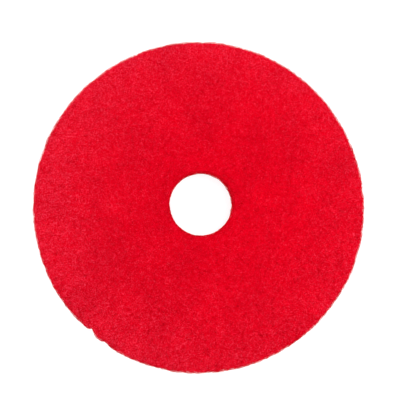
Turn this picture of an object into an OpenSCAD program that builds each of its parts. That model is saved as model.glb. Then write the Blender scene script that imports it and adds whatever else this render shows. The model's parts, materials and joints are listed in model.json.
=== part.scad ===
// Floor pad for a rotary floor machine: one die-cut disc of non-woven fibre web with an
// open centre hole. All lengths are in millimetres. The working face lies on z = 0 and
// the bore axis is z.

/* [Disc] */

// Outside diameter of the disc (17 in)
outside_diameter = 432; // [330:1:533]

// Thickness of the uncompressed web (1 in class)
thickness = 25; // [10:0.5:30]

// Height of the 45 degree break on both rims, which stands for their soft corners
rim_break = 1.5; // [0.5:0.5:3]

/* [Centre hole] */

// Diameter of the centre hole (3 1/4 in)
hole_diameter = 82.5; // [50:0.5:130]

/* [View] */

// Which sub-part to draw

/* [Hidden] */

outside_radius = outside_diameter / 2;
hole_radius = hole_diameter / 2;
hole_overrun = 1;

pad_red = [0.78, 0.05, 0.10];

$fn = 180;

// Half section of the disc before punching, from the axis out to the rim. Both rims
// are broken at 45 degrees over the height of rim_break.
module disc_section() {
    polygon([
        [0, 0],
        [outside_radius - rim_break, 0],
        [outside_radius, rim_break],
        [outside_radius, thickness - rim_break],
        [outside_radius - rim_break, thickness],
        [0, thickness]
    ]);
}

module floor_pad() {
    color(pad_red)
        difference() {
            rotate_extrude()
                disc_section();
            translate([0, 0, -hole_overrun])
                cylinder(r = hole_radius, h = thickness + 2 * hole_overrun);
        }
}

floor_pad();
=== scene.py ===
"""A red non-woven floor pad: a lumpy resin-bonded core with crimped fibres matted over every face.

All lengths are in metres, in the CAD model's frame: +Z up, the pad lying on the floor at z = 0.
"""
import json
import math

import bpy
import numpy as np
from mathutils import Matrix, Vector


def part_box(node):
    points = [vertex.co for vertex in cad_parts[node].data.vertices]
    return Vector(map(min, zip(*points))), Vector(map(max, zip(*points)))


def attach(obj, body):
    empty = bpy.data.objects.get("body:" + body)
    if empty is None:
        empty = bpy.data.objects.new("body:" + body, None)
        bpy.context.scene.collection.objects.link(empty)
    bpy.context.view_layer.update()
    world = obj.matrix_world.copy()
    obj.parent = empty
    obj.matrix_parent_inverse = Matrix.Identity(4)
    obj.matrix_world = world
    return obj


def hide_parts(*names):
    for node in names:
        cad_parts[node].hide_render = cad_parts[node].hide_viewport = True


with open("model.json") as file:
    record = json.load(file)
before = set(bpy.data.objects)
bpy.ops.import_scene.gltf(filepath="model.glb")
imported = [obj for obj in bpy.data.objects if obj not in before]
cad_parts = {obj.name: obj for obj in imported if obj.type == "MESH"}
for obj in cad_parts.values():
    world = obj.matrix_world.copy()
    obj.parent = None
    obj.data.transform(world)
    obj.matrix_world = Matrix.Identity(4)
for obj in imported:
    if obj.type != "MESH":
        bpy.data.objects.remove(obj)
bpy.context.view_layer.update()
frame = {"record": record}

MM = 0.001

# The pad's own size, from the CAD frame.
pad_low, pad_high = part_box("floor_pad")
mounts = {mount["name"]: mount for mount in frame["record"]["mounts"]}
PAD_RADIUS = (pad_high.y - pad_low.y) / 2
PAD_HEIGHT = pad_high.z - pad_low.z
HOLE_RADIUS = mounts["centre_hole"]["dims"]["r_mm"] * MM

# The core sits a little under the CAD faces, and the fibres fill the space above it. Its
# points are one spacing apart, and its corners are arcs of a few turns.
CORE_SINK = 0.9 * MM
CORE_BOTTOM_SINK = CORE_SINK * 0.5
CORE_SPACING = 2.0 * MM
CORNER_RADIUS = 2.2 * MM
CORNER_TURNS_DEG = (0, 30, 60, 90)

# The seed of the random draws. Each field of noise has its own seed, counted on from it.
SEED = 17
SWELL_SEED = SEED
TUFT_SEED = SEED + 1
PORE_SEED = SEED + 2
FINE_RAGGED_SEED = SEED + 3
BROAD_RAGGED_SEED = SEED + 4
LAYER_SEED = SEED + 5

# The relief of the web: how large its lumps are, and how deep they go.
SWELL_SIZE = 30 * MM
SWELL_DEPTH = 0.15 * MM
TUFT_SIZE = 4.4 * MM
TUFT_DEPTH = 0.35 * MM
PORE_SIZE = 2.4 * MM
FACE_PORE_DEPTH = 0.9 * MM
WALL_PORE_DEPTH = 1.2 * MM
LAYER_SIZE = 9 * MM
LAYER_THINNING = 3.0
LAYER_DEPTH = 1.3 * MM

# The rim's out-of-round shape: waves in the round, their height, and one crest's angle.
RIM_WAVES = [(2, 0.25 * MM, 70), (3, 0.15 * MM, -25), (4, 0.3 * MM, -15)]

# The rim's nicks: the deepest point's angle, the depth, and the reach before and after it.
RIM_NICKS = [(229, 5.0 * MM, 1, 3), (228, 1.5 * MM, 9, 1.5), (235, 2.2 * MM, 0.7, 2.5)]

# The share of a nick's depth that is left at the floor face.
NICK_FLOOR_SHARE = 0.45

# The ragged cut of the rim: the size of its bumps, and the height from pit to crest.
FINE_RAGGED_SIZE = 4 * MM
FINE_RAGGED_HEIGHT = 0.7 * MM
BROAD_RAGGED_SIZE = 17 * MM
BROAD_RAGGED_HEIGHT = 0.9 * MM

# The core follows the rim's shape fully at the rim, and not at all this far inside it.
RIM_BAND = 0.15 * PAD_RADIUS

# One fibre is a crimped strand of several straight steps.
STRAND_STEPS = 6
STRAND_STEP_LENGTH = 2.1 * MM
STRAND_STEP_VARIATION = (0.75, 1.25)
STRAND_CRIMP = math.radians(34)
STRAND_CRIMP_VARIATION = (0.4, 1.3)
STRAND_DRIFT = math.radians(18)
STRAND_WOBBLE = 0.14 * MM

# A strand's cross-section: a flattened triangle, thinnest at both ends. The upward bias turns
# its flat side mostly level.
STRAND_CORNERS = 3
STRAND_RADIUS = (0.07 * MM, 0.16 * MM)
STRAND_RADIUS_VARIATION = (0.85, 1.15)
STRAND_FLATNESS = 0.6
STRAND_END_WIDTH = 0.55
COARSE_STRAND_WIDTH = 1.5
UPWARD_BIAS = 2.0

# How high a strand's middle is lifted over the core, and how deep its ends are buried.
TOP_LIFT = (0.2 * MM, 1.1 * MM)
BOTTOM_LIFT = (0.2 * MM, 0.8 * MM)
FACE_BURY = (0.3 * MM, 0.9 * MM)
WALL_LIFT = (0.5 * MM, 1.6 * MM)
WALL_BURY = (0.2 * MM, 1.2 * MM)

# Strands sink into the core's pits by this share of the pits' depth.
PIT_SHARE = 0.75

# How far the strands of the faces keep from the rim and from the hole, and how often each
# strand is moved to bring it inside those limits.
RIM_MARGIN = 0.2 * MM
HOLE_MARGIN = 0.3 * MM
INSIDE_PASSES = 3

# The strands of the cut walls: their spread about level, how far they keep from both faces,
# the share whose cut ends poke out and how far, and how far they sink at the rounded corners.
WALL_TILT = math.radians(24)
WALL_MARGIN = 0.5 * MM
POKING_SHARE = 0.5
POKE_LENGTH = (0.3 * MM, 2.0 * MM)
CORNER_SINK = 0.6 * MM

# The groups of strands. Each one stays a light mesh of its own.
STRANDS_PER_GROUP = 4800
TOP_SECTORS = 6
BOTTOM_SECTORS = 4
RIM_GROUPS = 2
BORE_STRANDS = STRANDS_PER_GROUP // 3

# No vector is divided by a length under this one.
SHORTEST_LENGTH = 1e-12

# The ratio whose powers spread points evenly over a square, and how far each point is then
# moved, in units of the mean spacing.
PLASTIC_NUMBER = 1.32471795724
SPREAD_JITTER = 0.5

# A strand's tint, where 0 is dark red and 1 pale: random parts for the whole strand and for
# each point of it, and what a painted glint at a point, a pale strand of painted highlight and a
# dark strand of painted shadow add.
STRAND_TINT_RANGE = 0.4
POINT_TINT_RANGE = 0.6
GLINT_POINT_SHARE = 0.06
GLINT_POINT_TINT = 0.4
HIGHLIGHT_STRAND_TINT = 0.25
SHADOW_STRAND_TINT = -0.6

# The core's tint: its highest value, and its loss for each millimetre of depth, which paints shade
# into the pits.
CORE_TINT = 0.7
CORE_DEPTH_SHADE = 0.3

# The painted sheen in every tint: the drop at the centre, the rise from there to
# the rim, and the rise from the middle to the -X side, which paint whitish highlights in.
SHEEN_CENTRE_DROP = 0.28
SHEEN_RIM_RISE = 0.27
SHEEN_SIDE_RISE = 0.08

# The shares of dark strands, painted shadow, and of pale strands, painted highlight: at the
# centre, and how much more at the rim. The dark ones lean towards -X and -Y, the side painted in
# shade.
SHADOW_STRAND_SHARE = (0.005, 0.15)
SHADOW_LEAN_X = 0.5
SHADOW_LEAN_Y = 0.75
HIGHLIGHT_STRAND_SHARE = (0.02, 0.08)

# The bake layout of the core: two discs above two strips, as shares of the square. A
# triangle belongs to a disc where more than the flat share of its area faces up or down.
FLAT_SHARE = 0.7
UV_DISC_RADIUS = 0.24
UV_TOP_CENTRE = (0.25, 0.75)
UV_BOTTOM_CENTRE = (0.75, 0.75)
UV_RIM_BASE = 0.26
UV_BORE_BASE = 0.03
UV_STRIP_HEIGHT = 0.2
UV_STRIP_START = 0.02
UV_STRIP_LENGTH = 0.96

# The bake layout of the strands: the border as a share of a strand's cell, and the gap
# before a cap as a share of the border.
UV_CELL_BORDER = 0.16
UV_CAP_GAP = 0.2

# The scales of the materials' noise: their grain, the fibres' bumps and the soft patches.
GRAIN_SCALE = 850
FIBRE_BUMP_SCALE = 2500
PATCH_SCALE = 24

# How the materials use the noise: the part of the grain's range that is stretched to full
# contrast, the grain's share of the colour against the tint's, and the brightness of the
# darkest and of the lightest patch.
GRAIN_STRETCH = (0.375, 0.625)
GRAIN_SHARE = 0.45
PATCH_BRIGHTNESS = (0.84, 1.12)


# ---------------------------------------------------------------- noise

def lattice_value(ix, iy, iz, seed):
    """A repeatable value from 0 to 1 for each whole-numbered lattice point.

    The large primes scatter the point's bits, and 16 of the scattered bits make the value.
    """
    n = ix * 73856093 ^ iy * 19349663 ^ iz * 83492791 ^ seed * 49979687
    n = (n ^ (n >> 13)) * 1274126177 & 0x7FFFFFFF
    n = (n ^ (n >> 16)) * 668265263 & 0x7FFFFFFF
    return ((n >> 8) & 0xFFFF) / 0xFFFF


def value_noise(points, cell, seed):
    """Smooth noise from 0 to 1 at points, an (n, 3) array, with lumps about one cell across."""
    scaled = points / cell
    corner = np.floor(scaled).astype(np.int64)
    t = scaled - corner
    t = t * t * (3 - 2 * t)
    total = np.zeros(len(points))
    for dx in (0, 1):
        for dy in (0, 1):
            for dz in (0, 1):
                weight = (
                    (t[:, 0] if dx else 1 - t[:, 0])
                    * (t[:, 1] if dy else 1 - t[:, 1])
                    * (t[:, 2] if dz else 1 - t[:, 2])
                )
                total += weight * lattice_value(
                    corner[:, 0] + dx, corner[:, 1] + dy, corner[:, 2] + dz, seed
                )
    return total


def relief(points, wall):
    """How far the core's surface lies under its smooth shape, where wall is 0 to 1.

    The faces have broad swells, tufts and pores. The cut walls are rougher, and show the web's
    flat layers edge on.
    """
    swell = value_noise(points, SWELL_SIZE, SWELL_SEED)
    tuft = value_noise(points, TUFT_SIZE, TUFT_SEED)
    pore = value_noise(points, PORE_SIZE, PORE_SEED)
    layer = value_noise(points * np.array([1, 1, LAYER_THINNING]), LAYER_SIZE, LAYER_SEED)
    face_depth = SWELL_DEPTH * swell + TUFT_DEPTH * tuft**2 + FACE_PORE_DEPTH * pore**2
    wall_depth = SWELL_DEPTH * swell + LAYER_DEPTH * layer**2 + WALL_PORE_DEPTH * pore**2
    return face_depth + (wall_depth - face_depth) * wall


# ---------------------------------------------------------------- outline

def wrapped(angle):
    """An angle brought into -pi to pi."""
    return (angle + math.pi) % (2 * math.pi) - math.pi


def notch(angle, centre_deg, depth, before_deg, after_deg):
    """A torn nick in the rim: deepest at its centre, with its own width on each side."""
    away = np.degrees(wrapped(angle - math.radians(centre_deg)))
    width = np.where(away < 0, before_deg, after_deg)
    return depth * np.clip(1 - np.abs(away) / width, 0, 1)


def rim_shift(angle, z):
    """How far the cut rim stands outside the true circle at an angle and height."""
    out_of_round = sum(
        height * np.cos(waves * (angle - math.radians(crest_deg)))
        for waves, height, crest_deg in RIM_WAVES
    )
    torn = sum(notch(angle, *nick) for nick in RIM_NICKS)
    torn *= NICK_FLOOR_SHARE + (1 - NICK_FLOOR_SHARE) * np.clip(z / PAD_HEIGHT, 0, 1)
    ring = np.stack([np.cos(angle), np.sin(angle), z / PAD_RADIUS], axis=-1) * PAD_RADIUS
    points = ring.reshape(-1, 3)
    fine = value_noise(points, FINE_RAGGED_SIZE, FINE_RAGGED_SEED) - 0.5
    broad = value_noise(points, BROAD_RAGGED_SIZE, BROAD_RAGGED_SEED) - 0.5
    ragged = FINE_RAGGED_HEIGHT * fine + BROAD_RAGGED_HEIGHT * broad
    return out_of_round - torn + ragged.reshape(np.shape(angle))


# ---------------------------------------------------------------- core

def section_rings():
    """The core's section as a closed loop of (radius, z, radial normal, axial normal)."""
    inner = HOLE_RADIUS + CORE_SINK
    outer = PAD_RADIUS - CORE_SINK
    low = CORE_BOTTOM_SINK
    high = PAD_HEIGHT - CORE_SINK
    # Each corner's centre, and the angle at which its arc starts.
    corners = [
        (inner + CORNER_RADIUS, high - CORNER_RADIUS, 180),
        (outer - CORNER_RADIUS, high - CORNER_RADIUS, 90),
        (outer - CORNER_RADIUS, low + CORNER_RADIUS, 0),
        (inner + CORNER_RADIUS, low + CORNER_RADIUS, -90),
    ]
    rings = []
    for number, (radius, z, start_deg) in enumerate(corners):
        for turn in CORNER_TURNS_DEG:
            a = math.radians(start_deg - turn)
            rings.append((
                radius + CORNER_RADIUS * math.cos(a),
                z + CORNER_RADIUS * math.sin(a),
                math.cos(a),
                math.sin(a),
            ))
        r0, z0, nr, nz = rings[-1]
        next_radius, next_z, next_deg = corners[(number + 1) % len(corners)]
        a = math.radians(next_deg)
        r1 = next_radius + CORNER_RADIUS * math.cos(a)
        z1 = next_z + CORNER_RADIUS * math.sin(a)
        steps = round(math.hypot(r1 - r0, z1 - z0) / CORE_SPACING)
        for k in range(1, steps):
            t = k / steps
            rings.append((r0 + (r1 - r0) * t, z0 + (z1 - z0) * t, nr, nz))
    return rings


def zip_rings(first_a, count_a, phase_a, first_b, count_b, phase_b):
    """Triangles that join ring a to ring b, whose points may differ in number."""
    faces = []
    i = j = 0
    while i < count_a or j < count_b:
        angle_a = (i + 1 + phase_a) / count_a
        angle_b = (j + 1 + phase_b) / count_b
        a0 = first_a + i % count_a
        b0 = first_b + j % count_b
        if j >= count_b or (i < count_a and angle_a <= angle_b):
            faces.append((a0, b0, first_a + (i + 1) % count_a))
            i += 1
        else:
            faces.append((a0, b0, first_b + (j + 1) % count_b))
            j += 1
    return faces


def core_mesh():
    """Points, triangles, and how deep the relief is at each point."""
    rings = section_rings()
    counts = [round(2 * math.pi * radius / CORE_SPACING) for radius, _, _, _ in rings]
    phases = [0.5 * (number % 2) for number in range(len(rings))]
    firsts = np.concatenate([[0], np.cumsum(counts)])
    smooth = []
    normals = []
    walls = []
    for (radius, z, nr, nz), count, phase in zip(rings, counts, phases):
        angle = 2 * math.pi * (np.arange(count) + phase) / count
        edge = np.clip((radius - PAD_RADIUS + RIM_BAND) / RIM_BAND, 0, 1)
        level = np.full(count, z)
        r = radius + edge * rim_shift(angle, level)
        smooth.append(np.stack([r * np.cos(angle), r * np.sin(angle), level], axis=1))
        axial = np.full(count, nz)
        normals.append(np.stack([nr * np.cos(angle), nr * np.sin(angle), axial], axis=1))
        walls.append(np.full(count, nr**2))
    smooth = np.concatenate(smooth)
    normals = np.concatenate(normals)
    depth = relief(smooth, np.concatenate(walls))
    points = smooth - normals * depth[:, None]
    faces = []
    for number in range(len(rings)):
        following = (number + 1) % len(rings)
        faces += zip_rings(
            firsts[number], counts[number], phases[number],
            firsts[following], counts[following], phases[following],
        )
    return points, np.array(faces), depth


def core_uv(points, faces):
    """A bake layout: both faces as discs side by side, and both walls as strips under them."""
    corner = points[faces]
    middle = corner.mean(axis=1)
    edges = np.cross(corner[:, 1] - corner[:, 0], corner[:, 2] - corner[:, 0])
    flat = np.abs(edges[:, 2]) > FLAT_SHARE * np.linalg.norm(edges, axis=1)
    top = middle[:, 2] > PAD_HEIGHT / 2
    outside = np.hypot(middle[:, 0], middle[:, 1]) > (PAD_RADIUS + HOLE_RADIUS) / 2
    uv = np.zeros((len(faces), 3, 2))
    disc_scale = UV_DISC_RADIUS / PAD_RADIUS
    for mask, centre in ((flat & top, UV_TOP_CENTRE), (flat & ~top, UV_BOTTOM_CENTRE)):
        uv[mask] = np.array(centre) + disc_scale * corner[mask][:, :, :2]
    angle = np.arctan2(corner[:, :, 1], corner[:, :, 0])
    middle_angle = np.arctan2(middle[:, 1], middle[:, 0])[:, None]
    turn = (middle_angle + wrapped(angle - middle_angle) + math.pi) / (2 * math.pi)
    rise = corner[:, :, 2] / PAD_HEIGHT
    for mask, base in ((~flat & outside, UV_RIM_BASE), (~flat & ~outside, UV_BORE_BASE)):
        uv[mask, :, 0] = UV_STRIP_START + UV_STRIP_LENGTH * turn[mask]
        uv[mask, :, 1] = base + UV_STRIP_HEIGHT * rise[mask]
    return uv


# ---------------------------------------------------------------- fibres

def crimped_paths(rng, count, heading):
    """Flat zigzag paths that wander slowly: (count, steps + 1, 2) offsets about their middles."""
    drift = rng.normal(0, STRAND_DRIFT, (count, STRAND_STEPS)).cumsum(axis=1)
    crimp = STRAND_CRIMP * rng.uniform(*STRAND_CRIMP_VARIATION, (count, STRAND_STEPS))
    zigzag = crimp * (-1.0) ** np.arange(STRAND_STEPS)
    angle = heading[:, None] + drift + zigzag
    length = STRAND_STEP_LENGTH * rng.uniform(*STRAND_STEP_VARIATION, (count, STRAND_STEPS))
    moves = np.stack([length * np.cos(angle), length * np.sin(angle)], axis=2)
    path = np.concatenate([np.zeros((count, 1, 2)), moves.cumsum(axis=1)], axis=1)
    return path - path.mean(axis=1, keepdims=True)


def arch(rng, count, lift, bury):
    """Height along each strand: buried at both ends, and lifted over its middle."""
    t = np.linspace(-1, 1, STRAND_STEPS + 1)
    peak = rng.uniform(*lift, (count, 1))
    ends = rng.uniform(*bury, (count, 1))
    wobble = rng.normal(0, STRAND_WOBBLE, (count, STRAND_STEPS + 1))
    return (peak + ends) * (1 - np.abs(t) ** 3) - ends + wobble


def even_spread(rng, count):
    """Two values from 0 to 1 for each strand, spread evenly and without clumps."""
    steps = np.array([1 / PLASTIC_NUMBER, 1 / PLASTIC_NUMBER**2])
    spread = np.arange(count)[:, None] * steps + rng.random(2)
    return (spread + rng.normal(0, SPREAD_JITTER / math.sqrt(count), (count, 2))) % 1


def moved_inside(path, level):
    """Flat paths on a face, moved along their own radius until they clear the rim and the hole."""
    for _ in range(INSIDE_PASSES):
        reach = np.hypot(path[..., 0], path[..., 1])
        around = np.arctan2(path[..., 1], path[..., 0])
        edge = PAD_RADIUS - RIM_MARGIN + rim_shift(around, level)
        over = np.clip((reach - edge).max(axis=1), 0, None)
        under = np.clip((HOLE_RADIUS + HOLE_MARGIN - reach).max(axis=1), 0, None)
        middle = path.mean(axis=1)
        outward = middle / np.linalg.norm(middle, axis=1, keepdims=True)
        path = path + (outward * (under - over)[:, None])[:, None, :]
    return path


def face_strands(rng, count, top, sector):
    """Strands matted over one face, in one angular sector (first angle, last angle)."""
    spread = even_spread(rng, count)
    radius = np.sqrt(HOLE_RADIUS**2 + (PAD_RADIUS**2 - HOLE_RADIUS**2) * spread[:, 0])
    angle = sector[0] + (sector[1] - sector[0]) * spread[:, 1]
    centre = np.stack([radius * np.cos(angle), radius * np.sin(angle)], axis=1)
    path = centre[:, None, :] + crimped_paths(rng, count, rng.uniform(0, 2 * math.pi, count))
    level = np.full(path.shape[:2], PAD_HEIGHT if top else 0.0)
    path = moved_inside(path, level)
    side = 1 if top else -1
    sink = CORE_SINK if top else CORE_BOTTOM_SINK
    smooth = np.concatenate([path, (level - side * sink)[..., None]], axis=2)
    depth = relief(smooth.reshape(-1, 3), 0).reshape(level.shape)
    lift = TOP_LIFT if top else BOTTOM_LIFT
    height = arch(rng, count, lift, FACE_BURY) - PIT_SHARE * depth
    z = smooth[..., 2] + side * height
    points = np.concatenate([path, z[..., None]], axis=2)
    if not top:
        # The floor holds the lowest strands level on it.
        points[..., 2] = np.maximum(points[..., 2], STRAND_RADIUS[1])
    return points


def wall_strands(rng, count, outer):
    """Strands along the rim or the bore wall: mostly level, as the web was laid.

    Some of them have one cut end that pokes out.
    """
    radius = PAD_RADIUS if outer else HOLE_RADIUS
    side = 1 if outer else -1
    heading = rng.normal(0, WALL_TILT, count) + math.pi * rng.integers(0, 2, count)
    path = crimped_paths(rng, count, heading)
    spread = even_spread(rng, count)
    around = 2 * math.pi * spread[:, :1] + path[..., 0] / radius
    z = PAD_HEIGHT * spread[:, 1:2] + path[..., 1]
    z -= np.clip(z.max(axis=1) - (PAD_HEIGHT - WALL_MARGIN), 0, None)[:, None]
    z += np.clip(WALL_MARGIN - z.min(axis=1), 0, None)[:, None]
    wall = np.full(z.shape, radius)
    if outer:
        wall += rim_shift(around, z)
    smooth_r = wall - side * CORE_SINK
    smooth = np.stack([smooth_r * np.cos(around), smooth_r * np.sin(around), z], axis=2)
    depth = relief(smooth.reshape(-1, 3), 1).reshape(z.shape)
    height = arch(rng, count, WALL_LIFT, WALL_BURY)
    t = np.linspace(-1, 1, STRAND_STEPS + 1)
    poke = rng.uniform(*POKE_LENGTH, (count, 1)) * (rng.random((count, 1)) < POKING_SHARE)
    height += poke * np.clip(t, 0, 1) ** 2
    from_corner = np.clip(np.minimum(z, PAD_HEIGHT - z) / CORNER_RADIUS, 0, 1)
    height -= CORNER_SINK * (1 - from_corner) ** 2
    r = smooth_r + side * (height - PIT_SHARE * depth)
    return np.stack([r * np.cos(around), r * np.sin(around), z], axis=2)


def painted_sheen(x, y):
    """The painted sheen added to the tint: paler towards the rim and towards -X."""
    out = np.hypot(x, y) / PAD_RADIUS
    return SHEEN_RIM_RISE * out**2 - SHEEN_SIDE_RISE * x / PAD_RADIUS - SHEEN_CENTRE_DROP


def shadow_strand_share(x, y):
    """The share of dark coarse strands, painted shadow: few at the centre, most at the rim towards
    -X and -Y, the side painted in shade.
    """
    out = np.hypot(x, y) / PAD_RADIUS
    lean = (SHADOW_LEAN_X * x + SHADOW_LEAN_Y * y) / PAD_RADIUS
    at_centre, more_at_rim = SHADOW_STRAND_SHARE
    return at_centre + more_at_rim * out**2 * (1 - lean)


def highlight_strand_share(x, y):
    """The share of pale strands, whose colour is painted highlight: few at the centre, most at the
    rim.
    """
    out = np.hypot(x, y) / PAD_RADIUS
    at_centre, more_at_rim = HIGHLIGHT_STRAND_SHARE
    return at_centre + more_at_rim * out**2


def unit(vectors):
    """Vectors scaled to length 1, where a vector of no length stays as it is."""
    lengths = np.linalg.norm(vectors, axis=-1, keepdims=True)
    return vectors / np.maximum(lengths, SHORTEST_LENGTH)


def cross_section_axes(rng, paths):
    """Two directions across each strand, the second one mostly upwards."""
    tangent = unit(np.gradient(paths, axis=1))
    helper = unit(rng.normal(0, 1, (len(paths), 1, 3)) + np.array([0, 0, UPWARD_BIAS]))
    side = unit(np.cross(tangent, helper))
    up = np.cross(side, tangent)
    return side, up


def strand_thickness(rng, count, rings, coarse):
    """The radius at every point of each strand: tapered, uneven, and larger where coarse."""
    along = np.linspace(0, 1, rings)
    taper = STRAND_END_WIDTH + (1 - STRAND_END_WIDTH) * np.sin(math.pi * along) ** 0.5
    width = np.where(coarse, COARSE_STRAND_WIDTH, 1.0)
    thick = rng.uniform(*STRAND_RADIUS, (count, 1)) * taper * width
    return thick * rng.uniform(*STRAND_RADIUS_VARIATION, (count, rings))


def tube_grid(count, rings):
    """The strand, ring and corner where each side quad starts, as three equal grids."""
    return np.meshgrid(
        np.arange(count), np.arange(rings - 1), np.arange(STRAND_CORNERS), indexing="ij"
    )


def tube_faces(count, rings):
    """The side quads and the end caps of every tube, as point numbers."""
    def point(strand, ring, corner):
        return (strand * rings + ring) * STRAND_CORNERS + corner % STRAND_CORNERS

    strand, ring, corner = tube_grid(count, rings)
    quads = np.stack([
        point(strand, ring, corner),
        point(strand, ring, corner + 1),
        point(strand, ring + 1, corner + 1),
        point(strand, ring + 1, corner),
    ], axis=-1).reshape(-1, 4)
    each = np.arange(count)
    first_caps = np.stack([point(each, 0, k) for k in (0, 2, 1)], axis=-1)
    last_caps = np.stack([point(each, rings - 1, k) for k in (0, 1, 2)], axis=-1)
    return quads, first_caps, last_caps


def tube_uv(count, rings):
    """A bake layout with one square cell for each tube: its sides, then its two caps."""
    strand, ring, corner = tube_grid(count, rings)
    cells = math.ceil(math.sqrt(count))
    cell = 1 / cells
    cell_u = (np.arange(count) % cells) * cell
    cell_v = (np.arange(count) // cells) * cell
    border = UV_CELL_BORDER * cell
    span = cell - 2 * border
    u0 = cell_u[strand] + border + span * ring / (rings - 1)
    u1 = cell_u[strand] + border + span * (ring + 1) / (rings - 1)
    v0 = cell_v[strand] + border + span * corner / STRAND_CORNERS
    v1 = cell_v[strand] + border + span * (corner + 1) / STRAND_CORNERS
    sides = np.stack([
        np.stack([u0, v0], axis=-1),
        np.stack([u0, v1], axis=-1),
        np.stack([u1, v1], axis=-1),
        np.stack([u1, v0], axis=-1),
    ], axis=-2).reshape(-1, 2)
    gap = UV_CAP_GAP * border
    cap = np.array([[0, 0], [0.5, 0], [0, 0.5]]) * border
    cell_corner = np.stack([cell_u, cell_v], axis=-1)[:, None, :]
    first_caps = (cell_corner + cap + gap).reshape(-1, 2)
    last_caps = (cell_corner + cell - cap - gap).reshape(-1, 2)
    return np.concatenate([sides, first_caps, last_caps])


def strand_tint(rng, paths, dark, pale):
    """The tint at every point of each strand."""
    count, rings = paths.shape[:2]
    tint = STRAND_TINT_RANGE * rng.random((count, 1))
    tint = tint + POINT_TINT_RANGE * rng.random((count, rings))
    # Painted glints: pale specks at random points.
    tint += GLINT_POINT_TINT * (rng.random((count, rings)) < GLINT_POINT_SHARE)
    # The pale strands get painted highlight, the dark strands painted shadow.
    tint += HIGHLIGHT_STRAND_TINT * pale + SHADOW_STRAND_TINT * dark
    # Painted sheen: paler towards the rim and towards -X.
    return tint + painted_sheen(paths[..., 0], paths[..., 1])


def tube_mesh(rng, paths):
    """Closed three-sided tubes along the paths, with a tint for each point and a bake UV."""
    count, rings = paths.shape[:2]
    side, up = cross_section_axes(rng, paths)
    middle_x = paths[:, rings // 2, 0:1]
    middle_y = paths[:, rings // 2, 1:2]
    # Dark strands are painted shadow and pale strands painted highlight; both are drawn coarser.
    dark = rng.random((count, 1)) < shadow_strand_share(middle_x, middle_y)
    pale = rng.random((count, 1)) < highlight_strand_share(middle_x, middle_y)
    thick = strand_thickness(rng, count, rings, dark | pale)
    corners = []
    for k in range(STRAND_CORNERS):
        a = 2 * math.pi * k / STRAND_CORNERS
        section = math.cos(a) * side + STRAND_FLATNESS * math.sin(a) * up
        corners.append(paths + thick[..., None] * section)
    points = np.stack(corners, axis=2).reshape(-1, 3)
    tint = np.repeat(strand_tint(rng, paths, dark, pale).ravel(), STRAND_CORNERS)
    quads, first_caps, last_caps = tube_faces(count, rings)
    loops = np.concatenate([quads.ravel(), first_caps.ravel(), last_caps.ravel()])
    sizes = np.concatenate([np.full(len(quads), 4), np.full(2 * count, STRAND_CORNERS)])
    return points, loops, sizes, tint, tube_uv(count, rings)


# ---------------------------------------------------------------- Blender objects

def make_piece(name, points, loops, sizes, tint, uv, material):
    """A smooth-shaded mesh object with a tint for each point and the bake's UV layout."""
    mesh = bpy.data.meshes.new(name)
    mesh.vertices.add(len(points))
    mesh.vertices.foreach_set("co", points.astype(np.float32).ravel())
    mesh.loops.add(len(loops))
    mesh.loops.foreach_set("vertex_index", loops.astype(np.int32))
    mesh.polygons.add(len(sizes))
    starts = np.concatenate([[0], np.cumsum(sizes)[:-1]])
    mesh.polygons.foreach_set("loop_start", starts.astype(np.int32))
    mesh.polygons.foreach_set("use_smooth", np.ones(len(sizes), bool))
    mesh.update(calc_edges=True)
    layer = mesh.attributes.new("tint", "FLOAT", "POINT")
    layer.data.foreach_set("value", tint.astype(np.float32))
    uv_layer = mesh.uv_layers.new(name="OFBake")
    uv_layer.data.foreach_set("uv", uv.astype(np.float32).ravel())
    mesh.materials.append(material)
    mesh.validate()
    piece = bpy.data.objects.new(name, mesh)
    bpy.context.scene.collection.objects.link(piece)
    return piece


def new_material(name):
    """A new node material, with its nodes, its links and its shader."""
    material = bpy.data.materials.new(name)
    material.use_nodes = True
    nodes = material.node_tree.nodes
    return material, nodes, material.node_tree.links, nodes["Principled BSDF"]


def color_ramp(nodes, stops):
    """A colour ramp with the given stops, each a position and a linear colour."""
    ramp = nodes.new("ShaderNodeValToRGB")
    elements = ramp.color_ramp.elements
    while len(elements) < len(stops):
        elements.new(0.5)
    for element, (position, color) in zip(elements, stops):
        element.position = position
        element.color = (*color, 1)
    return ramp


def noise_node(nodes, links, scale, detail):
    """A noise texture in object space."""
    coordinates = nodes.new("ShaderNodeTexCoord")
    noise = nodes.new("ShaderNodeTexNoise")
    noise.inputs["Scale"].default_value = scale
    noise.inputs["Detail"].default_value = detail
    links.new(coordinates.outputs["Object"], noise.inputs["Vector"])
    return noise


def add_bump(nodes, links, shader, grain, strength, distance):
    """Bumps on the shader's surface, as high as the grain."""
    bump = nodes.new("ShaderNodeBump")
    bump.inputs["Strength"].default_value = strength
    bump.inputs["Distance"].default_value = distance
    links.new(grain.outputs["Fac"], bump.inputs["Height"])
    links.new(bump.outputs["Normal"], shader.inputs["Normal"])


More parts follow.
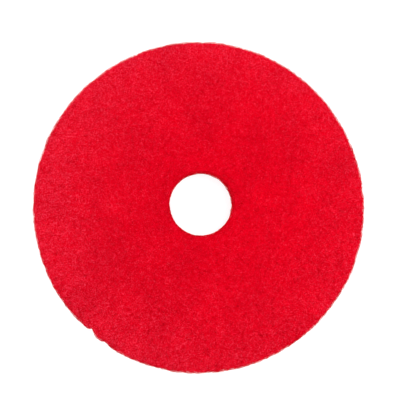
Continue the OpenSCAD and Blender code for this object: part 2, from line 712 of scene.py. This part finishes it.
def mottled_color(nodes, links, grain, stops):
    """The tint attribute broken up by the grain, coloured, then shaded in broad soft patches."""
    tint = nodes.new("ShaderNodeAttribute")
    tint.attribute_name = "tint"
    contrast = nodes.new("ShaderNodeMapRange")
    contrast.inputs["From Min"].default_value = GRAIN_STRETCH[0]
    contrast.inputs["From Max"].default_value = GRAIN_STRETCH[1]
    links.new(grain.outputs["Fac"], contrast.inputs["Value"])
    blend = nodes.new("ShaderNodeMix")
    blend.inputs["Factor"].default_value = GRAIN_SHARE
    links.new(tint.outputs["Fac"], blend.inputs["A"])
    links.new(contrast.outputs["Result"], blend.inputs["B"])
    ramp = color_ramp(nodes, stops)
    links.new(blend.outputs["Result"], ramp.inputs["Fac"])
    patches = noise_node(nodes, links, PATCH_SCALE, detail=2)
    level = nodes.new("ShaderNodeMapRange")
    level.inputs["To Min"].default_value = PATCH_BRIGHTNESS[0]
    level.inputs["To Max"].default_value = PATCH_BRIGHTNESS[1]
    links.new(patches.outputs["Fac"], level.inputs["Value"])
    shaded = nodes.new("ShaderNodeVectorMath")
    shaded.operation = "SCALE"
    links.new(ramp.outputs["Color"], shaded.inputs[0])
    links.new(level.outputs["Result"], shaded.inputs["Scale"])
    return shaded.outputs["Vector"]


def fibre_material():
    """Resin-coated red fibre: paler where the tint is high, with a fine speckle along it."""
    material, nodes, links, shader = new_material("resin_coated_fibre")
    speckle = noise_node(nodes, links, GRAIN_SCALE, detail=1)
    color = mottled_color(nodes, links, speckle, [
        (0.08, (0.50, 0.0001, 0.005)),
        (0.20, (0.84, 0.0001, 0.009)),
        (0.34, (0.87, 0.0001, 0.010)),
        (0.45, (0.89, 0.0002, 0.013)),
        (0.53, (0.92, 0.0007, 0.018)),
        (0.61, (0.96, 0.0066, 0.034)),
        (0.75, (0.98, 0.0500, 0.105)),
    ])
    links.new(color, shader.inputs["Base Color"])
    grain = noise_node(nodes, links, FIBRE_BUMP_SCALE, detail=2)
    add_bump(nodes, links, shader, grain, strength=0.35, distance=0.05 * MM)
    shader.inputs["Roughness"].default_value = 0.45
    shader.inputs["Specular IOR Level"].default_value = 0.006
    return material


def core_material():
    """The bonded web under the loose fibres: a darker red than the fibres and darker still in its
    pores, painted shade for the depth, with a fine felted grain.
    """
    material, nodes, links, shader = new_material("bonded_web_painted_shade")
    grain = noise_node(nodes, links, GRAIN_SCALE, detail=2)
    # A darker ramp than the fibres': painted shade for the depth under them.
    color = mottled_color(nodes, links, grain, [
        (0.34, (0.59, 0.0001, 0.008)),
        (0.45, (0.63, 0.0002, 0.011)),
        (0.53, (0.67, 0.0005, 0.015)),
        (0.61, (0.72, 0.0052, 0.028)),
        (0.75, (0.77, 0.0400, 0.085)),
    ])
    links.new(color, shader.inputs["Base Color"])
    add_bump(nodes, links, shader, grain, strength=0.6, distance=0.4 * MM)
    shader.inputs["Roughness"].default_value = 0.7
    shader.inputs["Specular IOR Level"].default_value = 0.004
    return material


def build_core(material):
    """The pad's solid heart, which stands for the CAD node."""
    points, faces, depth = core_mesh()
    uv = core_uv(points, faces)
    # Painted shade that deepens with the pits' depth, plus the painted sheen towards the rim and
    # -X.
    tint = CORE_TINT - CORE_DEPTH_SHADE * depth / MM + painted_sheen(points[:, 0], points[:, 1])
    sizes = np.full(len(faces), 3)
    core = make_piece("pad_core", points, faces.ravel(), sizes, tint, uv, material)
    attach(core, "root")
    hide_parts("floor_pad")
    return core


def build_fibres(material, core):
    """Every group of fibres, each a child of the core."""
    rng = np.random.default_rng(SEED)
    groups = []
    for side, sectors in (("top", TOP_SECTORS), ("bottom", BOTTOM_SECTORS)):
        for number in range(sectors):
            sector = (2 * math.pi * number / sectors, 2 * math.pi * (number + 1) / sectors)
            strands = face_strands(rng, STRANDS_PER_GROUP, side == "top", sector)
            groups.append((f"{side}_fibres_{number + 1}", strands))
    for number in range(RIM_GROUPS):
        groups.append((f"rim_fibres_{number + 1}", wall_strands(rng, STRANDS_PER_GROUP, True)))
    groups.append(("bore_fibres", wall_strands(rng, BORE_STRANDS, False)))
    for name, paths in groups:
        points, loops, sizes, tint, uv = tube_mesh(rng, paths)
        piece = make_piece(name, points, loops, sizes, tint, uv, material)
        piece.parent = core


# ---------------------------------------------------------------- stage, light and camera

def build_floor():
    """A plain near-white floor, a hair under the pad."""
    reach = 4.0
    gap = 0.1 * MM
    mesh = bpy.data.meshes.new("studio_floor")
    corners = [(-reach, -reach, 0), (reach, -reach, 0), (reach, reach, 0), (-reach, reach, 0)]
    mesh.from_pydata(corners, [], [(0, 1, 2, 3)])
    floor = bpy.data.objects.new("studio_floor", mesh)
    floor.location.z = -gap
    bpy.context.scene.collection.objects.link(floor)
    material, _, _, shader = new_material("pale_floor")
    shader.inputs["Base Color"].default_value = (0.32, 0.32, 0.32, 1)
    shader.inputs["Roughness"].default_value = 0.9
    shader.inputs["Emission Color"].default_value = (1, 1, 1, 1)
    shader.inputs["Emission Strength"].default_value = 0.78
    mesh.materials.append(material)


def add_softbox(name, location, energy):
    """A round softbox aimed at the pad, hidden from the camera."""
    lamp = bpy.data.lights.new(name, "AREA")
    lamp.shape = "DISK"
    lamp.size = 0.8
    lamp.energy = energy
    softbox = bpy.data.objects.new(name, lamp)
    softbox.location = location
    softbox.rotation_euler = (-softbox.location).to_track_quat("-Z", "Y").to_euler()
    softbox.visible_camera = False
    bpy.context.scene.collection.objects.link(softbox)


def build_light():
    """Even white surroundings, a softbox on the right and a weaker one on the left."""
    world = bpy.data.worlds.new("soft_studio")
    world.use_nodes = True
    background = world.node_tree.nodes["Background"]
    background.inputs["Color"].default_value = (1, 1, 1, 1)
    background.inputs["Strength"].default_value = 1.02
    bpy.context.scene.world = world
    add_softbox("key_softbox", (0.46, 0.08, 0.52), 2.4)
    add_softbox("fill_softbox", (-0.50, 0.21, 0.50), 1.15)


def build_camera():
    """A camera almost straight above the pad, leaning towards its lower left."""
    distance = 743 * MM
    lean_x = math.radians(-3.4)
    lean_y = math.radians(-4.8)
    aim = Vector((-1.9 * MM, 4.7 * MM, PAD_HEIGHT))
    back = Vector((math.sin(lean_x), math.sin(lean_y), 0))
    back.z = math.sqrt(1 - back.x**2 - back.y**2)
    right = Vector((0, 1, 0)).cross(back).normalized()
    up = back.cross(right)
    camera_data = bpy.data.cameras.new("camera")
    camera_data.sensor_width = 36
    camera_data.lens = 51.5
    camera = bpy.data.objects.new("camera", camera_data)
    turned = Matrix((right, up, back)).transposed().to_4x4()
    camera.matrix_world = Matrix.Translation(aim + distance * back) @ turned
    bpy.context.scene.collection.objects.link(camera)
    bpy.context.scene.camera = camera


bpy.context.scene.view_settings.view_transform = "Standard"
build_camera()
build_light()
build_floor()
pad_core = build_core(core_material())
build_fibres(fibre_material(), pad_core)
